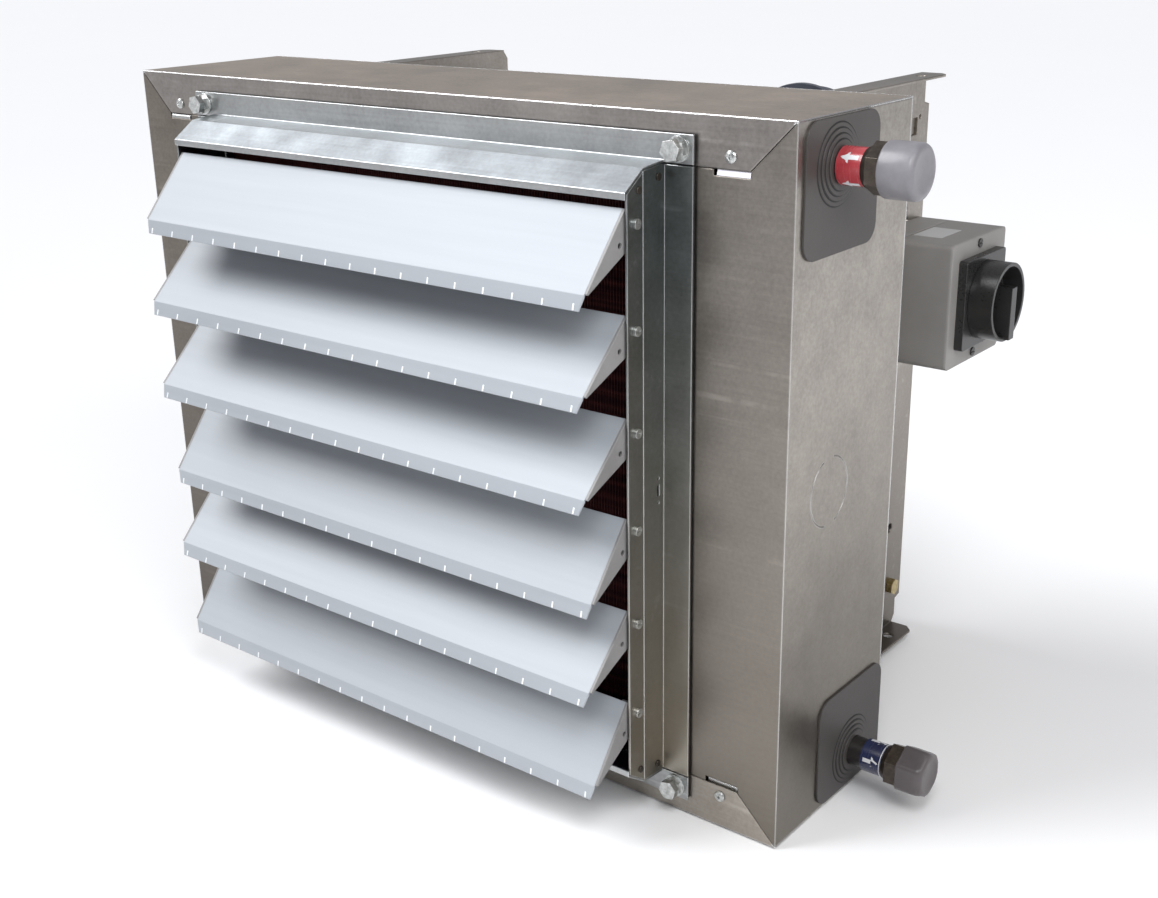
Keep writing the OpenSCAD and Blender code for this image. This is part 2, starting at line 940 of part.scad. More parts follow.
// Round box on the upper rail
module junction_box() {
    color([0.16, 0.17, 0.2])
        difference() {
            bar_y(-36, -12, 50, box_x, box_z);
            bar_y(-37, -15, 47.5, box_x, box_z);
            bar_x(box_x - 60, box_x - 40, 6.3, -26, box_z);
        }
}

module junction_lid() {
    color([0.18, 0.19, 0.23])
        difference() {
            union() {
                bar_y(-41, -36, 55, box_x, box_z);
                bar_y(-44, -41, 49, box_x, box_z);
            }
            bar_y(-39, -35, 46, box_x, box_z);
        }
}

// Cable gland along X, its nut towards -X
module gland(x, y, z) {
    difference() {
        union() {
            bar_x(x, x + 14, 6, y, z);
            hex_x(x - 5, x, 17, y, z);
            bar_x(x - 9, x - 5, 8, y, z);
            translate([x - 15, y, z])
                rotate([0, 90, 0])
                    cylinder(h = 6, r1 = 5.8, r2 = 8);
        }
        bar_x(x - 16, x + 15, 4, y, z);
    }
}

// Glands of the round box and of the service switch
module cable_glands() {
    color([0.12, 0.12, 0.13]) {
        gland(box_x - 50.3, -26, box_z);
        gland(bracket_x - 2, switch_y, switch_z);
    }
}

// ---------- service switch ----------

module switch_base() {
    color([0.6, 0.6, 0.6])
        difference() {
            soft_block_x([bracket_x, -100, 29], [bracket_x + 28, -2, 129], 4);
            block([bracket_x + 3, -97, 32], [bracket_x + 29, -5, 126]);
            bar_x(bracket_x - 1, bracket_x + 4, 6.3, switch_y, switch_z);
        }
}

module switch_cover() {
    color([0.62, 0.62, 0.62])
        difference() {
            soft_block_x([bracket_x + 28, -100, 29], [bracket_x + 75, -2, 129], 4);
            block([bracket_x + 27, -97, 32], [bracket_x + 72, -5, 126]);
            bar_x(bracket_x + 70, bracket_x + 76, 5, switch_y, switch_z);
            for (z = [34.5, 123.5])
                bar_x(bracket_x + 70, bracket_x + 76, 2.1, switch_y, z);
        }
}

module switch_plate() {
    x = bracket_x + 75;
    color([0.08, 0.08, 0.09])
        difference() {
            soft_block_x([x, switch_y - 36, switch_z - 36], [x + 7, switch_y + 36, switch_z + 36], 3);
            bar_x(x - 1, x + 8, 5, switch_y, switch_z);
        }
}

// Cup-shaped rotary handle with a grip bar across it
module switch_handle() {
    x = bracket_x + 82.2;
    color([0.07, 0.07, 0.08])
        translate([0, switch_y, switch_z])
            rotate([handle_turn, 0, 0])
                difference() {
                    union() {
                        difference() {
                            bar_x(x, x + 20, handle_r, 0, 0);
                            bar_x(x + 3, x + 21, handle_r - 3, 0, 0);
                        }
                        block([x + 2, -4.5, 2 - handle_r], [x + 24.6, 4.5, handle_r - 19]);
                    }
                    bar_x(x - 1, x + 8, 3.3, 0, 0);
                }
}

module switch_spindle() {
    color([0.7, 0.7, 0.72])
        bar_x(bracket_x + 40, bracket_x + 90, 3, switch_y, switch_z);
}

module switch_screws() {
    x = bracket_x + 75;
    color([0.7, 0.7, 0.68])
        for (z = [34.5, 123.5]) {
            bar_x(x - 15, x, 1.8, switch_y, z);
            difference() {
                bar_x(x, x + 1.2, 3.6, switch_y, z);
                block([x + 0.5, switch_y - 4, z - 0.5], [x + 2, switch_y + 4, z + 0.5]);
            }
        }
}

// ---------- parts drawn ----------

top_panel();
bottom_panel();
left_panel();
right_panel();
rear_panel();
sheet_screws();
frame_gasket();
frame_top();
frame_bottom();
frame_left();
frame_right();
frame_bolts();
frame_nuts();
frame_washers();
frame_rivets();
pivot_screws();
slat_body(0);  // slat_1
slat_body(1);  // slat_2
slat_body(2);  // slat_3
slat_body(3);  // slat_4
slat_body(4);  // slat_5
slat_body(5);  // slat_6
slat_caps(0);  // slat_1_caps
slat_caps(1);  // slat_2_caps
slat_caps(2);  // slat_3_caps
slat_caps(3);  // slat_4_caps
slat_caps(4);  // slat_5_caps
slat_caps(5);  // slat_6_caps
coil_fins();
coil_hairpins();
coil_plates();
flow_header();
return_header();
pipe_grommets();
pipe_unions();
flow_band();
return_band();
flow_cap();
return_cap();
inlet_ring();
fan_guard();
motor_stator();
motor_bearings();
motor_screws();
fan_shaft();
motor_rotor();
fan_impeller();
bracket_left();
bracket_right();
tie_rails();
rail_bolts();
junction_box();
junction_lid();
cable_glands();
switch_base();
switch_cover();
switch_plate();
switch_handle();
switch_spindle();
switch_screws();
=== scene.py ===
"""Looks of the hot-water fan heater.

Finishes for its sheet, slats, pipes and switch, the pieces that the frame keeps plain,
the floor, the lights and the camera.
"""

import json
import math

import bmesh
import bpy
from mathutils import Matrix, Vector


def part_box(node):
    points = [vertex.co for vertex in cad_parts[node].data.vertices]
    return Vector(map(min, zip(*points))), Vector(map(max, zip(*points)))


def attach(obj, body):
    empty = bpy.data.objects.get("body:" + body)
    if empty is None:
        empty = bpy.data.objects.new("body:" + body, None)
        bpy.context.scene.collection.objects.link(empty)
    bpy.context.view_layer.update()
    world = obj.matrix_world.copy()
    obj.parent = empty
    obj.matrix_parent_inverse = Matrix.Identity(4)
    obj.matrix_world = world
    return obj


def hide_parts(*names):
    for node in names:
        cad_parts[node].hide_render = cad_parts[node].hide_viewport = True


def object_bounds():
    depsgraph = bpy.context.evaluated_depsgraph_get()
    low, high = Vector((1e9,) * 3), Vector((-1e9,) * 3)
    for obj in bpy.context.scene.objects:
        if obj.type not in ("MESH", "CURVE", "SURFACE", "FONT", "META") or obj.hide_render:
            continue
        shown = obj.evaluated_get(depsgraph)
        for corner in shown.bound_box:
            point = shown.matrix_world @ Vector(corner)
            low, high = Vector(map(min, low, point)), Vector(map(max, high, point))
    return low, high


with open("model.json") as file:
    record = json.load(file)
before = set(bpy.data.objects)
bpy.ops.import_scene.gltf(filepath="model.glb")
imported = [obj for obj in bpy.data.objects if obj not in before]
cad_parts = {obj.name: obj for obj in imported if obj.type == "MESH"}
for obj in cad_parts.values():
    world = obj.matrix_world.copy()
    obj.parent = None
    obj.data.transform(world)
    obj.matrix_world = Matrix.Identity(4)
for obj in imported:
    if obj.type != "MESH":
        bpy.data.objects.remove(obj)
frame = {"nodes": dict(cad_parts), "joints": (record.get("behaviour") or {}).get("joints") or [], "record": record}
cad_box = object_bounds()
MM = 0.001
RIM_X, RIM_Z = 0.3175, 0.2525  # where the casing's outer bends begin, across and upward
TO_MM = 1000
ROUND_STEPS = 96  # flats round a turned piece
BEND_HIGHLIGHT_COLOUR = (0.86, 0.87, 0.88)  # painted highlight of a rounded bend, in bare zinc colour
EDGE_GAIN = 9.0  # how fast a bend counts as an edge
BEVEL_SAMPLES = 6


# ---------- node maths ----------

class Wire:
    """A number that runs between nodes; sums on it become Math nodes."""

    def __init__(self, finish, socket):
        self.finish = finish
        self.socket = socket

    def sum(self, operation, *parts):
        made = self.finish.node("ShaderNodeMath", {"operation": operation},
                                dict(enumerate(parts)))
        return Wire(self.finish, made.outputs[0])

    def __add__(self, other):
        return self.sum("ADD", self, other)

    def __radd__(self, other):
        return self.sum("ADD", other, self)

    def __sub__(self, other):
        return self.sum("SUBTRACT", self, other)

    def __rsub__(self, other):
        return self.sum("SUBTRACT", other, self)

    def __mul__(self, other):
        return self.sum("MULTIPLY", self, other)

    def __rmul__(self, other):
        return self.sum("MULTIPLY", other, self)

    def __abs__(self):
        return self.sum("ABSOLUTE", self)

    def least(self, other):
        return self.sum("MINIMUM", self, other)

    def most(self, other):
        return self.sum("MAXIMUM", self, other)

    def over(self, other):
        return self.sum("GREATER_THAN", self, other)

    def wave(self):
        return self.sum("SINE", self)

    def spread(self, low, high, new_low=0.0, new_high=1.0):
        """Maps low..high to new_low..new_high and stops at both ends."""
        made = self.finish.node("ShaderNodeMapRange", {"clamp": True}, {
            0: self, 1: low, 2: high, 3: new_low, 4: new_high})
        return Wire(self.finish, made.outputs[0])


class Finish:
    """One surface finish, built out of nodes round a Principled shader."""

    def __init__(self, name):
        self.material = bpy.data.materials.new(name)
        self.material.use_nodes = True
        self.tree = self.material.node_tree
        self.tree.nodes.clear()
        place = self.node("ShaderNodeTexCoord")
        self.place = place.outputs["Object"]

    def node(self, kind, settings=None, values=None):
        made = self.tree.nodes.new(kind)
        for key, value in (settings or {}).items():
            setattr(made, key, value)
        for key, value in (values or {}).items():
            socket = made.inputs[key]
            if isinstance(value, Wire):
                self.tree.links.new(value.socket, socket)
            elif isinstance(value, bpy.types.NodeSocket):
                self.tree.links.new(value, socket)
            else:
                socket.default_value = value
        return made

    def stretch(self, scale):
        """Object position stretched by scale, for grain that runs one way."""
        made = self.node("ShaderNodeMapping", {"vector_type": "POINT"}, {
            "Vector": self.place, "Scale": scale})
        return made.outputs[0]

    def noise(self, scale, detail=3.0, rough=0.5, place=None, twist=0.0):
        made = self.node("ShaderNodeTexNoise", None, {
            "Vector": place or self.place, "Scale": scale, "Detail": detail,
            "Roughness": rough, "Distortion": twist})
        return Wire(self, made.outputs["Fac"])

    def along(self, axis):
        """Position along X, Y or Z as a number."""
        made = self.node("ShaderNodeSeparateXYZ", None, {0: self.place})
        return Wire(self, made.outputs["XYZ".index(axis)])

    def facing(self, axis):
        """Part of the surface normal along X, Y or Z."""
        shape = self.node("ShaderNodeNewGeometry")
        made = self.node("ShaderNodeSeparateXYZ", None, {0: shape.outputs["Normal"]})
        return Wire(self, made.outputs["XYZ".index(axis)])

    def tint(self, low, high, factor):
        """Colour between low and high."""
        made = self.node("ShaderNodeMix", {"data_type": "RGBA", "blend_type": "MIX"}, {
            0: factor, 6: low if isinstance(low, bpy.types.NodeSocket) else rgba(low),
            7: high if isinstance(high, bpy.types.NodeSocket) else rgba(high)})
        return made.outputs[2]

    def edge(self, radius):
        """1 on bends and corners, 0 on flat sheet."""
        round_off = self.node("ShaderNodeBevel", {"samples": BEVEL_SAMPLES}, {"Radius": radius})
        shape = self.node("ShaderNodeNewGeometry")
        dot = self.node("ShaderNodeVectorMath", {"operation": "DOT_PRODUCT"}, {
            0: round_off.outputs[0], 1: shape.outputs["Normal"]})
        return ((1.0 - Wire(self, dot.outputs["Value"])) * EDGE_GAIN).least(1.0)

    def bump(self, height, depth, strength=1.0, bend=0.0):
        """Fine relief, on corners rounded by bend."""
        values = {"Height": height, "Distance": depth, "Strength": strength}
        if bend:
            soft = self.node("ShaderNodeBevel", {"samples": BEVEL_SAMPLES}, {"Radius": bend})
            values["Normal"] = soft.outputs[0]
        return self.node("ShaderNodeBump", None, values).outputs[0]

    def done(self, **sockets):
        shader = self.node("ShaderNodeBsdfPrincipled", None, {
            key.replace("_", " "): value for key, value in sockets.items()})
        self.node("ShaderNodeOutputMaterial", None, {0: shader.outputs[0]})
        return self.material


def rgba(colour):
    return (*colour[:3], 1.0)


# ---------- finishes ----------

def sheet_steel(name, dark, light, grain=1.0, rough=0.36, low_painted_shading=None, bend_highlight=0.9,
                bend_size=0.0016, outer_only=False, facing_light=None):
    """Galvanised sheet: cloudy tone, rolling lines and bends painted bright as a highlight.

    The tone given for lower down is what the sheet runs to towards the bottom: painted shade where it is
    darker than the sheet, painted light where it is lighter. The (dull, bright, axis) tones are painted light and
    shade on the faces that look along that axis. outer_only keeps the painted bend highlights to the casing's rim.
    """
    f = Finish(name)
    thin = (5.0, 420.0, 420.0)
    cloud = f.noise(7.0, 4.0, 0.6, twist=0.4)
    patch = f.noise(38.0, 3.0, 0.55)
    fleck = f.noise(330.0, 2.0, 0.6)
    lines = f.noise(1.0, 3.0, 0.65, place=f.stretch(thin))
    long_lines = f.noise(1.0, 2.0, 0.5, place=f.stretch(tuple(c * 0.3 for c in thin)))
    bend = f.edge(bend_size)
    if outer_only:
        bend = bend * abs(f.along("X")).over(RIM_X).most(abs(f.along("Z")).over(RIM_Z))
    tone = (cloud.spread(0.3, 0.7) * 0.4 + patch.spread(0.3, 0.7) * 0.25
            + lines.spread(0.35, 0.65) * 0.12 * grain + fleck.spread(0.3, 0.7) * 0.23)
    scratch = long_lines.spread(0.62, 0.74) * patch.spread(0.42, 0.6) * grain
    colour = f.tint(dark, light, (tone + scratch * 0.5).least(1.0))
    # Painted light and shade: faces that look along the axis take the brighter tones.
    if facing_light:
        dull, bright, axis = facing_light
        colour = f.tint(colour, f.tint(dull, bright, tone), f.facing(axis).spread(0.35, 0.75))
    # Painted light and shade: the sheet runs to the low tone towards the bottom.
    if low_painted_shading:
        height = (f.along("Z") + (cloud - 0.5) * 0.12).spread(0.16, -0.24)
        colour = f.tint(colour, f.tint(colour, low_painted_shading, 0.8), height)
    # Painted highlight: bends are tinted towards the bright bend colour, the light a rounded bend catches.
    colour = f.tint(colour, BEND_HIGHLIGHT_COLOUR, bend * bend_highlight)
    roughness = (rough + (patch - 0.5) * 0.16 + (cloud - 0.5) * 0.14
                 - scratch * 0.08 - bend * 0.08)
    relief = lines * 0.35 * grain + fleck * 0.4 + patch * 0.6
    return f.done(Base_Color=colour, Metallic=1.0, Roughness=roughness,
                  Normal=f.bump(relief, 0.00012, 0.6, bend=bend_size))


def zinc_plate(name, dark, light):
    """Bright zinc on small screws and bolts, dull in random patches of wear, with edges painted lighter as a
    highlight.
    """
    f = Finish(name)
    wear = f.noise(260.0, 4.0, 0.65)
    spot = f.noise(900.0, 2.0, 0.5)
    bend = f.edge(0.0004)
    colour = f.tint(dark, light, (wear.spread(0.3, 0.7) + bend * 0.6).least(1.0))
    return f.done(Base_Color=colour, Metallic=1.0,
                  Roughness=0.24 + wear * 0.2 - bend * 0.06,
                  Normal=f.bump(wear + spot * 0.4, 0.00008, 0.6, bend=0.0004))


def slat_paint():
    """Silver-white satin coat with a fine grain, drawn a little along the slat, and bends painted lighter as a
    highlight.
    """
    f = Finish("slat_silver_white")
    cloud = f.noise(5.0, 3.0, 0.5)
    grain = f.noise(700.0, 2.0, 0.5)
    drag = f.noise(1.0, 2.0, 0.5, place=f.stretch((6.0, 160.0, 160.0)))
    bend = f.edge(0.0009)
    tone = cloud.spread(0.3, 0.7) * 0.5 + drag.spread(0.3, 0.7) * 0.25 + grain * 0.25
    colour = f.tint((0.305, 0.328, 0.357), (0.375, 0.40, 0.43), (tone + bend * 0.6).least(1.0))
    return f.done(Base_Color=colour, Metallic=0.08,
                  Roughness=0.46 + (cloud - 0.5) * 0.12 + (grain - 0.5) * 0.08,
                  Coat_Weight=0.08, Coat_Roughness=0.3,
                  Normal=f.bump(grain + drag * 0.6, 0.00005, 0.5, bend=0.0009))


def moulded(name, dark, light, rough=0.45, grain=450.0, relief=0.0001, bend=0.0008, edge_highlight=0.35):
    """Moulded plastic or rubber: fine grain, faint clouding, edges painted lighter as a highlight."""
    f = Finish(name)
    skin = f.noise(grain, 3.0, 0.55)
    cloud = f.noise(18.0, 4.0, 0.6)
    lit_edge = f.edge(bend)
    # Painted highlight: edges are tinted lighter.
    tone = (cloud.spread(0.3, 0.7) * 0.6 + skin * 0.25 + lit_edge * edge_highlight).least(1.0)
    return f.done(Base_Color=f.tint(dark, light, tone),
                  Roughness=rough + (cloud - 0.5) * 0.18 + (skin - 0.5) * 0.1,
                  Normal=f.bump(skin + cloud * 0.4, relief, 0.7, bend=bend))


def coated_metal(name, dark, light, rough=0.4, metallic=0.0, grain=300.0, bend=0.0006):
    """Painted or cast metal with a slightly uneven coat, edges painted lighter as a highlight."""
    f = Finish(name)
    skin = f.noise(grain, 4.0, 0.6)
    cloud = f.noise(30.0, 3.0, 0.55)
    lit_edge = f.edge(bend)
    tone = (cloud.spread(0.3, 0.7) * 0.5 + skin.spread(0.3, 0.7) * 0.3 + lit_edge * 0.5).least(1.0)
    return f.done(Base_Color=f.tint(dark, light, tone), Metallic=metallic,
                  Roughness=rough + (skin - 0.5) * 0.2 - lit_edge * 0.08,
                  Normal=f.bump(skin + cloud * 0.5, 0.00012, 0.7, bend=bend))


TUBE_ROW_PITCH = 0.0115


def fin_coat():
    """Dark red-brown coated fins with thin level streaks where the tubes pass."""
    f = Finish("fin_red_brown")
    streak = f.noise(1.0, 3.0, 0.6, place=f.stretch((4.0, 20.0, 380.0)))
    rows = (f.along("Z") * (2 * math.pi / TUBE_ROW_PITCH)).wave().spread(0.2, 1.0)
    dust = f.noise(90.0, 4.0, 0.6)
    tone = (streak.spread(0.4, 0.7) * 0.55 + rows * 0.25 + dust * 0.2).least(1.0)
    return f.done(Base_Color=f.tint((0.035, 0.008, 0.010), (0.20, 0.05, 0.05), tone),
                  Metallic=0.5, Roughness=0.42 + dust * 0.25,
                  Normal=f.bump(streak + dust * 0.5, 0.0002, 0.6))


def copper_tube():
    f = Finish("tube_copper")
    age = f.noise(45.0, 4.0, 0.65)
    spot = f.noise(400.0, 2.0, 0.5)
    return f.done(Base_Color=f.tint((0.20, 0.075, 0.045), (0.62, 0.30, 0.19), age.spread(0.3, 0.7)),
                  Metallic=1.0, Roughness=0.28 + age * 0.3,
                  Normal=f.bump(spot + age, 0.0001, 0.6))


def cap_plastic(name, tone):
    """Thin translucent cap with its rim painted pale as a highlight; light comes through it a little."""
    f = Finish(name)
    cloud = f.noise(60.0, 3.0, 0.6)
    grain = f.noise(520.0, 2.0, 0.5)
    rim = f.edge(0.0016)
    low = tuple(c * 0.8 for c in tone)
    high = tuple(c * 1.1 for c in tone)
    body = f.tint(low, high, cloud.spread(0.3, 0.7))
    return f.done(Base_Color=f.tint(body, tuple(min(1.0, c * 2.2) for c in tone), rim * 0.7),
                  Roughness=0.34 + cloud * 0.16, Subsurface_Weight=0.15,
                  Subsurface_Radius=(0.004, 0.004, 0.004), Subsurface_Scale=1.0,
                  Coat_Weight=0.25, Coat_Roughness=0.2,
                  Normal=f.bump(grain, 0.00006, 0.5, bend=0.0010))


def sleeve(name, dark, light):
    """Glossy coloured sleeve with faint scuffs."""
    f = Finish(name)
    scuff = f.noise(1.0, 4.0, 0.6, place=f.stretch((300.0, 60.0, 60.0)))
    cloud = f.noise(70.0, 3.0, 0.5)
    return f.done(Base_Color=f.tint(dark, light, cloud.spread(0.25, 0.75)),
                  Roughness=0.22 + scuff.spread(0.5, 0.8) * 0.25,
                  Coat_Weight=0.4, Coat_Roughness=0.12,
                  Normal=f.bump(scuff + cloud, 0.00006, 0.5))


def plain_floor():
    f = Finish("floor_pale")
    cloud = f.noise(1.3, 4.0, 0.6)
    grain = f.noise(160.0, 3.0, 0.5)
    return f.done(Base_Color=f.tint((0.945, 0.945, 0.95), (0.965, 0.965, 0.97), cloud * 0.7 + grain * 0.3),
                  Roughness=0.75 + grain * 0.1, Normal=f.bump(grain, 0.0002, 0.3))


FINISHES = {
    "casing_sheet": sheet_steel("casing_galvanised", (0.215, 0.192, 0.168), (0.44, 0.405, 0.365),
                                low_painted_shading=(0.17, 0.15, 0.13), outer_only=True),
    # Painted light: faces of the frame that look up, such as the hood, take lighter tones.
    "frame_sheet": sheet_steel("frame_galvanised", (0.24, 0.245, 0.245), (0.48, 0.49, 0.49),
                               grain=1.2, bend_highlight=0.5, bend_size=0.001,
                               facing_light=((0.36, 0.38, 0.395), (0.66, 0.705, 0.74), "Z")),
    "zinc": zinc_plate("screw_zinc", (0.32, 0.33, 0.32), (0.74, 0.75, 0.74)),
    "yellow_zinc": zinc_plate("bolt_yellow_zinc", (0.30, 0.22, 0.09), (0.58, 0.48, 0.26)),
    "slat_white": slat_paint(),
    "slat_cap": moulded("slat_cap_grey", (0.17, 0.165, 0.165), (0.28, 0.275, 0.275), rough=0.4),
    "seal": moulded("seal_foam", (0.012, 0.012, 0.013), (0.035, 0.035, 0.037),
                    rough=0.85, grain=900.0, relief=0.0003),
    "fin": fin_coat(),
    "copper": copper_tube(),
    "coil_frame": sheet_steel("coil_frame_galvanised", (0.24, 0.24, 0.235), (0.48, 0.48, 0.47)),
    "pipe_steel": coated_metal("pipe_black", (0.008, 0.007, 0.007), (0.028, 0.024, 0.022), rough=0.34),
    "union": coated_metal("union_brown", (0.030, 0.023, 0.019), (0.15, 0.125, 0.105),
                          rough=0.34, metallic=0.8),
    "rubber": moulded("grommet_rubber", (0.040, 0.036, 0.034), (0.072, 0.065, 0.062),
                      rough=0.5, relief=0.00014, edge_highlight=0.1),
    "red_band": sleeve("sleeve_red", (0.30, 0.028, 0.036), (0.44, 0.055, 0.066)),
    "blue_band": sleeve("sleeve_navy", (0.008, 0.012, 0.042), (0.022, 0.030, 0.085)),
    "cap": cap_plastic("cap_grey", (0.18, 0.175, 0.19)),
    "ring_steel": sheet_steel("ring_galvanised", (0.24, 0.24, 0.235), (0.50, 0.50, 0.49)),
    "guard_wire": coated_metal("guard_black", (0.010, 0.010, 0.011), (0.040, 0.040, 0.043), rough=0.33),
    "motor": coated_metal("motor_grey", (0.040, 0.040, 0.044), (0.11, 0.11, 0.115), rough=0.5, metallic=0.3),
    "bearing": zinc_plate("bearing_steel", (0.40, 0.40, 0.41), (0.75, 0.75, 0.77)),
    "blade": moulded("blade_black", (0.014, 0.014, 0.016), (0.040, 0.040, 0.044), rough=0.4),
    "box_dark": moulded("round_box_blue_grey", (0.030, 0.033, 0.045), (0.085, 0.090, 0.115), rough=0.42),
    "gland": moulded("gland_black", (0.010, 0.010, 0.011), (0.035, 0.035, 0.038), rough=0.4),
    "switch_grey": moulded("switch_box_grey", (0.215, 0.206, 0.197), (0.29, 0.28, 0.267),
                           rough=0.5, grain=800.0, relief=0.00016, bend=0.004, edge_highlight=0.6),
    "switch_black": moulded("switch_black", (0.013, 0.013, 0.013), (0.036, 0.035, 0.034),
                            rough=0.3, relief=0.00004, bend=0.0009),
}

# Lit and shaded copies of the sheet finishes, one per panel: their tones hold painted light and shade. The frame's
# side webs are painted darker and lighter towards the foot; the casing's lower panel is painted lighter; its left
# side darker, and darker still towards the bottom; its top lighter on faces that look up; its right side lighter
# on faces that look right and darker towards the bottom.
SHADED_SIDE_FRAME = sheet_steel("frame_side_galvanised_painted_shade", (0.12, 0.132, 0.13), (0.26, 0.275, 0.27),
                         low_painted_shading=(0.34, 0.30, 0.245), bend_highlight=0.3, bend_size=0.001)
LIT_LOWER_SHEET = sheet_steel("casing_lower_galvanised_painted_light", (0.24, 0.215, 0.185), (0.48, 0.44, 0.395),
                          outer_only=True)
TOP_SHEET_PAINTED_LIGHT = sheet_steel("casing_top_galvanised_painted_light", (0.17, 0.155, 0.145), (0.38, 0.355, 0.335),
                        outer_only=True, facing_light=((0.36, 0.295, 0.235), (0.70, 0.60, 0.50), "Z"))
RIGHT_SHEET_PAINTED_SHADING = sheet_steel("casing_right_galvanised_painted_shading", (0.15, 0.135, 0.12), (0.31, 0.285, 0.255),
                          bend_highlight=0.4, low_painted_shading=(0.17, 0.152, 0.128), outer_only=True,
                          facing_light=((0.21, 0.19, 0.17), (0.50, 0.465, 0.42), "X"))
SHADED_LEFT_SHEET = sheet_steel("casing_left_galvanised_painted_shade", (0.12, 0.105, 0.09), (0.26, 0.23, 0.20),
                         bend_highlight=0.4, low_painted_shading=(0.10, 0.088, 0.075), outer_only=True)
RIVET = coated_metal("rivet_dark", (0.030, 0.024, 0.020), (0.10, 0.085, 0.07), rough=0.3, metallic=0.7)
DARK_SCREW = coated_metal("screw_dark", (0.010, 0.010, 0.010), (0.035, 0.034, 0.033), rough=0.4)
RETURN_CAP = cap_plastic("cap_warm_grey", (0.085, 0.073, 0.076))
# Painted highlight: the white of the raised lip marks.
TICK_HIGHLIGHT = coated_metal("tick_painted_highlight", (0.74, 0.77, 0.80), (0.92, 0.94, 0.96), rough=0.3)
ARROW = coated_metal("arrow_white", (0.52, 0.53, 0.55), (0.78, 0.78, 0.80), rough=0.35)
LABEL = moulded("label_pale", (0.42, 0.42, 0.42), (0.52, 0.52, 0.52), rough=0.35)
# Painted shade: black for the rings in the creases of the pipe plates.
RING_SHADE = moulded("ring_line_painted_shade", (0.006, 0.006, 0.006), (0.016, 0.015, 0.015), rough=0.6)
# Painted highlight: the pale strip in the top right slot.
SLIT_HIGHLIGHT = coated_metal("slit_painted_highlight", (0.72, 0.70, 0.78), (0.95, 0.93, 1.0), rough=0.5)
OWN_FINISH = {
    "bottom_panel": LIT_LOWER_SHEET,
    "top_panel": TOP_SHEET_PAINTED_LIGHT,
    "right_panel": RIGHT_SHEET_PAINTED_SHADING,
    "left_panel": SHADED_LEFT_SHEET,
    "frame_left": SHADED_SIDE_FRAME,
    "frame_right": SHADED_SIDE_FRAME,
    "frame_rivets": RIVET,
    "switch_screws": DARK_SCREW,
    "return_cap": RETURN_CAP,
}

slots = {s["node"]: s["material_slot"] for s in frame["record"]["subparts"]}
for name, thing in frame["nodes"].items():
    thing.data.materials.clear()
    thing.data.materials.append(OWN_FINISH.get(name) or FINISHES[slots[name]])


# ---------- making pieces ----------

def keep(name, bm, finish, body, replaces=(), smooth=True):
    """Turns a bmesh into a piece that rides on a body."""
    mesh = bpy.data.meshes.new(name)
    bmesh.ops.recalc_face_normals(bm, faces=bm.faces[:])
    bm.to_mesh(mesh)
    bm.free()
    thing = bpy.data.objects.new(name, mesh)
    bpy.context.scene.collection.objects.link(thing)
    thing.data.materials.append(FINISHES[finish] if isinstance(finish, str) else finish)
    if smooth:
        mesh.shade_smooth()
        mesh.set_sharp_from_angle(angle=math.radians(35))
    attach(thing, body)
    if replaces:
        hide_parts(*replaces)
    return thing


def add_box(bm, low, high):
    """Adds a closed box between two corners, in millimetres."""
    corners = [bm.verts.new(Vector((x, y, z)) * MM)
               for x in (low[0], high[0]) for y in (low[1], high[1]) for z in (low[2], high[2])]
    for side in ((0, 1, 3, 2), (4, 6, 7, 5), (0, 4, 5, 1), (2, 3, 7, 6), (0, 2, 6, 4), (1, 5, 7, 3)):
        bm.faces.new([corners[i] for i in side])


def on_axis(low, high, x):
    """Place at x on the middle line of a box."""
    return Matrix.Translation(Vector((x, (low.y + high.y) / 2, (low.z + high.z) / 2)))


def join_rings(bm, rings):
    """Faces between neighbouring rings; a ring of one point closes an end."""
    for r, s in zip(rings, rings[1:]):
        for i in range(ROUND_STEPS):
            j = (i + 1) % ROUND_STEPS
            corners = [r[i % len(r)], r[j % len(r)], s[j % len(s)], s[i % len(s)]]
            face = list(dict.fromkeys(corners))
            if len(face) > 2:
                bm.faces.new(face)


def lathe(bm, outline, place):
    """Turns an outline of (along, radius) in millimetres about the local X axis."""
    rings = []
    for along, radius in outline:
        if radius < 0.01:
            rings.append([bm.verts.new(place @ (Vector((along, 0, 0)) * MM))])
            continue
        ring = []
        for i in range(ROUND_STEPS):
            a = 2 * math.pi * i / ROUND_STEPS
            point = Vector((along, radius * math.cos(a), radius * math.sin(a)))
            ring.append(bm.verts.new(place @ (point * MM)))
        rings.append(ring)
    join_rings(bm, rings)


def sweep_outline(bm, outline, x1, x2, place):
    """Closed outline of (y, z) in millimetres drawn out along X, with end faces."""
    ends = []
    for x in (x1, x2):
        ends.append([bm.verts.new(place @ (Vector((x, y, z)) * MM)) for y, z in outline])
    count = len(outline)
    for i in range(count):
        j = (i + 1) % count
        bm.faces.new([ends[0][i], ends[0][j], ends[1][j], ends[1][i]])
    bm.faces.new(ends[0][::-1])
    bm.faces.new(ends[1])


joints = {j["name"]: j for j in frame["joints"]}
SLAT_DROPS = [-joints[f"slat_{i}_tilt"]["range_deg"][0] for i in range(1, 7)]


def slat_frame(i):
    """Turns slat measures, nose along -Y from the pivot, to the slat's place at rest."""
    pivot = Vector(joints[f"slat_{i + 1}_tilt"]["pos_m"])
    return Matrix.Translation(pivot) @ Matrix.Rotation(math.radians(SLAT_DROPS[i]), 4, "X")


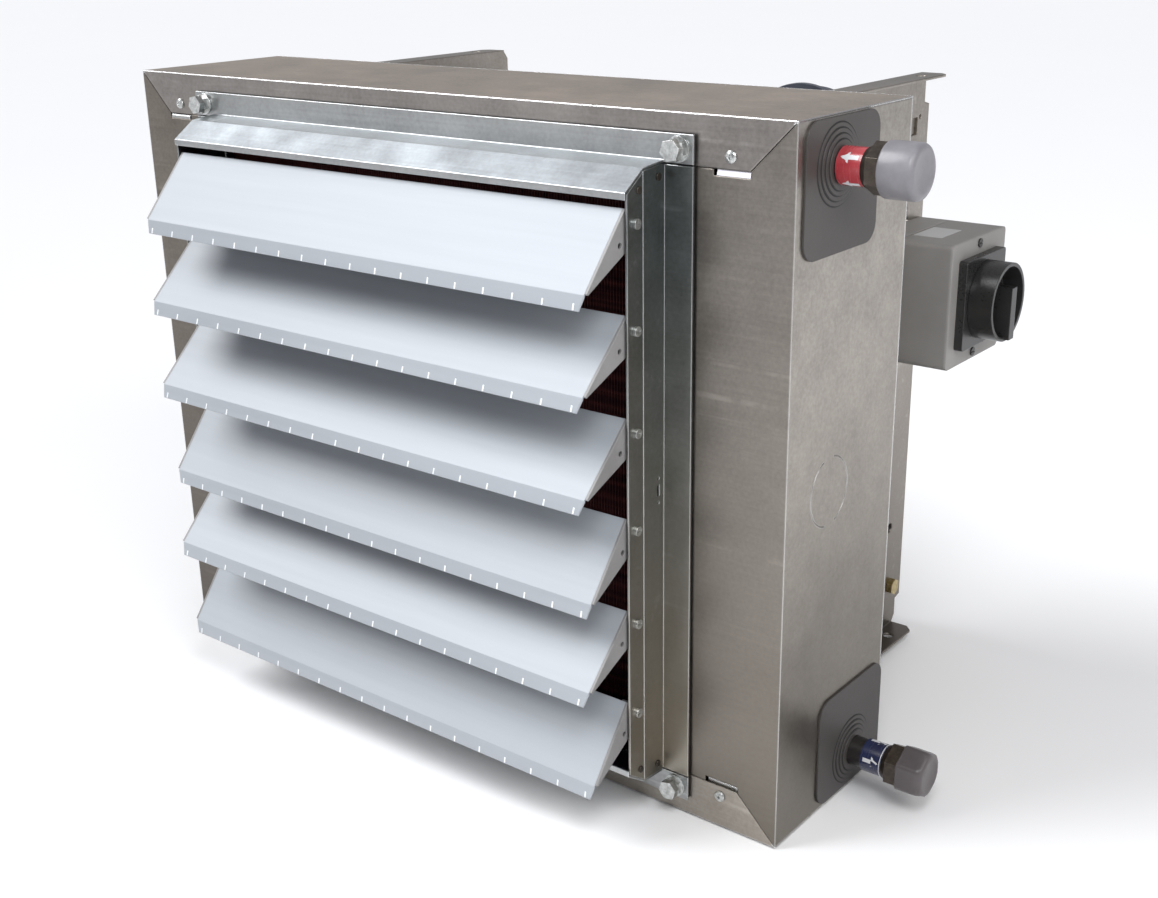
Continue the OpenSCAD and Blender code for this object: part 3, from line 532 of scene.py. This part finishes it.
# Small raised marks along the lip of each slat, their white a painted highlight: the light the little ribs catch
MARK_COUNT = 18
MARK_REACH = 213
MARK_HALF_WIDTH = 0.6
MARK_OUTLINE = [(-65.1, -4.75), (-68.5, -7.46), (-68.1, -7.95), (-64.7, -5.24)]
for i in range(len(SLAT_DROPS)):
    bm = bmesh.new()
    place = slat_frame(i)
    for k in range(MARK_COUNT):
        x = -MARK_REACH + 2 * MARK_REACH * k / (MARK_COUNT - 1)
        sweep_outline(bm, MARK_OUTLINE, x - MARK_HALF_WIDTH, x + MARK_HALF_WIDTH, place)
    keep(f"slat_{i + 1}_marks", bm, TICK_HIGHLIGHT, f"slat_{i + 1}_body", smooth=False)

# Close-set fins in place of the coarse pack
fin_low, fin_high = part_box("coil_fins")
FIN_COUNT = 186
FIN_HALF_THICKNESS = 0.18
FIN_END_GAP = 0.4
bm = bmesh.new()
fin_span = (fin_high.x - fin_low.x) * TO_MM - 2 * FIN_END_GAP
for i in range(FIN_COUNT):
    x = fin_low.x * TO_MM + FIN_END_GAP + fin_span * i / (FIN_COUNT - 1)
    add_box(bm, (x - FIN_HALF_THICKNESS, fin_low.y * TO_MM, fin_low.z * TO_MM),
            (x + FIN_HALF_THICKNESS, fin_high.y * TO_MM, fin_high.z * TO_MM))
keep("fin_pack", bm, "fin", "casing", replaces=["coil_fins"], smooth=False)

# Flow cap: a round cup with a rounded rim and a shallow dish in its face
BORE_DEPTH, BORE_RADIUS = 17.7, 13.5
low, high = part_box("flow_cap")
bm = bmesh.new()
lathe(bm, [(BORE_DEPTH, 0), (BORE_DEPTH, BORE_RADIUS), (0, BORE_RADIUS), (0, 17.2), (0.5, 17.8), (1.2, 18),
           (20.2, 18), (21.6, 17.7), (22.7, 17.0), (23.4, 16.0), (23.7, 14.8), (23.7, 12.8), (23.3, 11.8),
           (23.1, 0)], on_axis(low, high, low.x))
keep("flow_cap_round", bm, "cap", "flow_cap_body", replaces=["flow_cap"])

# Return cap: six sides that run into a round face, as (along, flat radius, corner radius)
RETURN_CAP_STEPS = (
    (BORE_DEPTH, 0, 0), (BORE_DEPTH, BORE_RADIUS, BORE_RADIUS), (0, BORE_RADIUS, BORE_RADIUS),
    (0, 15.6, 17.4), (0.7, 16.4, 18.3), (14.5, 16.4, 18.3), (17.0, 16.2, 17.9), (18.8, 15.8, 16.9),
    (19.9, 14.9, 15.4), (20.3, 13.6, 13.8), (20.4, 12.2, 12.2), (20.0, 11.2, 11.2), (19.9, 0, 0))
SIXTH = math.pi / 3
low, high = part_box("return_cap")
cap_place = on_axis(low, high, low.x)
bm = bmesh.new()
rings = []
for along, flat, corner in RETURN_CAP_STEPS:
    if corner == 0:
        rings.append([bm.verts.new(cap_place @ (Vector((along, 0, 0)) * MM))])
        continue
    ring = []
    for k in range(ROUND_STEPS):
        turn = 2 * math.pi * k / ROUND_STEPS
        from_flat = (turn + SIXTH / 2) % SIXTH - SIXTH / 2
        radius = min(flat / math.cos(from_flat), corner)
        aim = turn + SIXTH / 2
        point = Vector((along, radius * math.sin(aim), radius * math.cos(aim)))
        ring.append(bm.verts.new(cap_place @ (point * MM)))
    rings.append(ring)
join_rings(bm, rings)
keep("return_cap_round", bm, RETURN_CAP, "return_cap_body", replaces=["return_cap"])


ARROW_HALF = [(-6.2, 1.5), (0.4, 1.5), (0.4, 3.9), (6.2, 0.0)]  # (along, half width), tail to tip
ARROW_SKINS = (0.00012, -0.0004)  # top and underside, measured from the sleeve
# Corners count in pairs from tail to tip: even ones on one side, odd ones on the other
ARROW_SHAFT = [0, 1, 3, 2]
ARROW_HEAD = [4, 2, 3, 5, 6]
ARROW_RIM = [0, 2, 4, 6, 5, 3, 1]


def pipe_arrow(name, band_node, angles, towards):
    """Flow arrows that lie on a sleeve; towards is -1 for an arrow that points to the casing."""
    low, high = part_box(band_node)
    middle = Vector(((low.x + high.x) / 2, (low.y + high.y) / 2, (low.z + high.z) / 2))
    radius = (high.z - low.z) / 2
    bm = bmesh.new()
    for angle in angles:
        skins = []
        for out in ARROW_SKINS:
            skin = []
            for x, w in ARROW_HALF:
                for side in (1, -1) if w else (1,):
                    turn = math.radians(angle) + side * w * MM / radius
                    reach = Vector((x * towards * MM, -(radius + out) * math.cos(turn),
                                    (radius + out) * math.sin(turn)))
                    skin.append(bm.verts.new(middle + reach))
            skins.append(skin)
        top, bottom = skins
        bm.faces.new([top[k] for k in ARROW_SHAFT])
        bm.faces.new([top[k] for k in ARROW_HEAD])
        bm.faces.new([bottom[k] for k in reversed(ARROW_SHAFT)])
        bm.faces.new([bottom[k] for k in reversed(ARROW_HEAD)])
        for a, b in zip(ARROW_RIM, ARROW_RIM[1:] + ARROW_RIM[:1]):
            bm.faces.new([top[a], top[b], bottom[b], bottom[a]])
    keep(name, bm, ARROW, "casing", smooth=False)


pipe_arrow("flow_arrows", "flow_band", (34, -56, 124, 214), -1)
pipe_arrow("return_arrows", "return_band", (12, -78, 102, 192), 1)

WELD = 1e-7

# Thin pale ring at the outer end of the return sleeve
low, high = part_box("return_band")
bm = bmesh.new()
lathe(bm, [(-1.6, 11.6), (-1.6, 12.42), (-0.9, 12.42), (-0.9, 11.6), (-1.6, 11.6)],
      on_axis(low, high, high.x))
bmesh.ops.remove_doubles(bm, verts=bm.verts, dist=WELD)
keep("return_sleeve_line", bm, ARROW, "casing")

# Black rings at the steps of the two pipe plates: painted shade in the creases
CASING_SIDE = 0.32
PLATE_STEPS = ((1.6, 26.0), (2.2, 22.6), (3.1, 19.2), (4.0, 15.8))  # (height, radius) of each step's foot
CREASE_SECTION = ((-0.2, -0.2), (0.35, -0.2), (0.35, 0.25), (0.12, 0.9), (-0.2, 0.9), (-0.2, -0.2))
bm = bmesh.new()
for band_node in ("flow_band", "return_band"):
    low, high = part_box(band_node)
    place = on_axis(low, high, CASING_SIDE)
    for foot, radius in PLATE_STEPS:
        lathe(bm, [(foot + up, radius + out) for up, out in CREASE_SECTION], place)
bmesh.ops.remove_doubles(bm, verts=bm.verts, dist=WELD)
keep("plate_crease_shade", bm, RING_SHADE, "casing")

# Bent strips that show in the slots of the front flange; the one in the top right slot is painted bright as a
# highlight
STRIP_FROM, STRIP_TO = 262.6, 287.3
STRIP_SECTION = ((1.18, 221.9), (0.12, 218.4), (0.12, 217.7), (1.18, 217.7))  # (behind the face, height)
STRIPS = (
    ("slot_strip_bright", SLIT_HIGHLIGHT, ((1, 1),)),
    ("slot_strips", "ring_steel", ((-1, 1), (-1, -1), (1, -1))),
)
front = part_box("left_panel")[0].y * TO_MM
for name, finish, corners in STRIPS:
    bm = bmesh.new()
    for sx, sz in corners:
        outline = [(front + behind, sz * height) for behind, height in STRIP_SECTION]
        sweep_outline(bm, outline, sx * STRIP_FROM, sx * STRIP_TO, Matrix())
    keep(name, bm, finish, "casing", smooth=False)

# Blank plate on top of the switch box
LABEL_X, LABEL_Y = (257, 281), (-77, -40)
cover_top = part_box("switch_cover")[1].z * TO_MM
bm = bmesh.new()
add_box(bm, (LABEL_X[0], LABEL_Y[0], cover_top - 0.1), (LABEL_X[1], LABEL_Y[1], cover_top + 0.25))
keep("switch_label", bm, LABEL, "casing", smooth=False)

# ---------- floor, lights and camera ----------

FLOOR_REACH = 40000
FLOOR_GAP = 1.0
FLOOR_THICKNESS = 20
floor_z = cad_box[0].z * TO_MM - FLOOR_GAP
bm = bmesh.new()
add_box(bm, (-FLOOR_REACH, -FLOOR_REACH, floor_z - FLOOR_THICKNESS), (FLOOR_REACH, FLOOR_REACH, floor_z))
mesh = bpy.data.meshes.new("floor")
bm.to_mesh(mesh)
bm.free()
floor = bpy.data.objects.new("floor", mesh)
floor.data.materials.append(plain_floor())
bpy.context.scene.collection.objects.link(floor)


def soft_light(name, place, aim, size, power, colour):
    """Rectangular light at place, turned to aim."""
    data = bpy.data.lights.new(name, "AREA")
    data.shape = "RECTANGLE"
    data.size, data.size_y = size
    data.energy = power
    data.color = colour
    lamp = bpy.data.objects.new(name, data)
    lamp.location = place
    lamp.rotation_euler = (Vector(aim) - Vector(place)).to_track_quat("-Z", "Y").to_euler()
    bpy.context.scene.collection.objects.link(lamp)


key = bpy.data.lights.new("high_window", "SUN")
key.energy = 2.8
key.angle = math.radians(38)
key.color = (0.975, 0.985, 1.0)
lamp = bpy.data.objects.new("high_window", key)
lamp.rotation_euler = Vector((0.60, 0.40, -0.69)).to_track_quat("-Z", "Y").to_euler()
bpy.context.scene.collection.objects.link(lamp)
soft_light("near_light", (0.75, -0.95, 0.9), (0.1, -0.45, 0.0), (0.45, 0.45), 6.5, (0.97, 0.985, 1.0))
soft_light("right_fill", (2.4, -0.6, 1.5), (0.3, -0.2, 0), (1.2, 1.6), 24, (1.0, 0.985, 0.96))

world = bpy.data.worlds.new("studio")
world.use_nodes = True
sky = world.node_tree.nodes["Background"]
sky.inputs["Color"].default_value = (0.95, 0.96, 1.0, 1)
sky.inputs["Strength"].default_value = 0.42
bpy.context.scene.world = world
bpy.context.scene.view_settings.view_transform = "Standard"

camera_data = bpy.data.cameras.new("camera")
camera_data.sensor_width = 36.0
camera_data.lens = 45.98
camera_data.clip_start = 0.01
camera = bpy.data.objects.new("camera", camera_data)
ahead = Vector((-0.588982, 0.733448, -0.339344))
up = Vector((-0.198162, 0.276013, 0.940505))
right = ahead.cross(up).normalized()
up = right.cross(ahead).normalized()
turn = Matrix((right, up, -ahead)).transposed().to_4x4()
camera.matrix_world = Matrix.Translation((0.774678, -1.150606, 0.372381)) @ turn
bpy.context.scene.collection.objects.link(camera)
bpy.context.scene.camera = camera
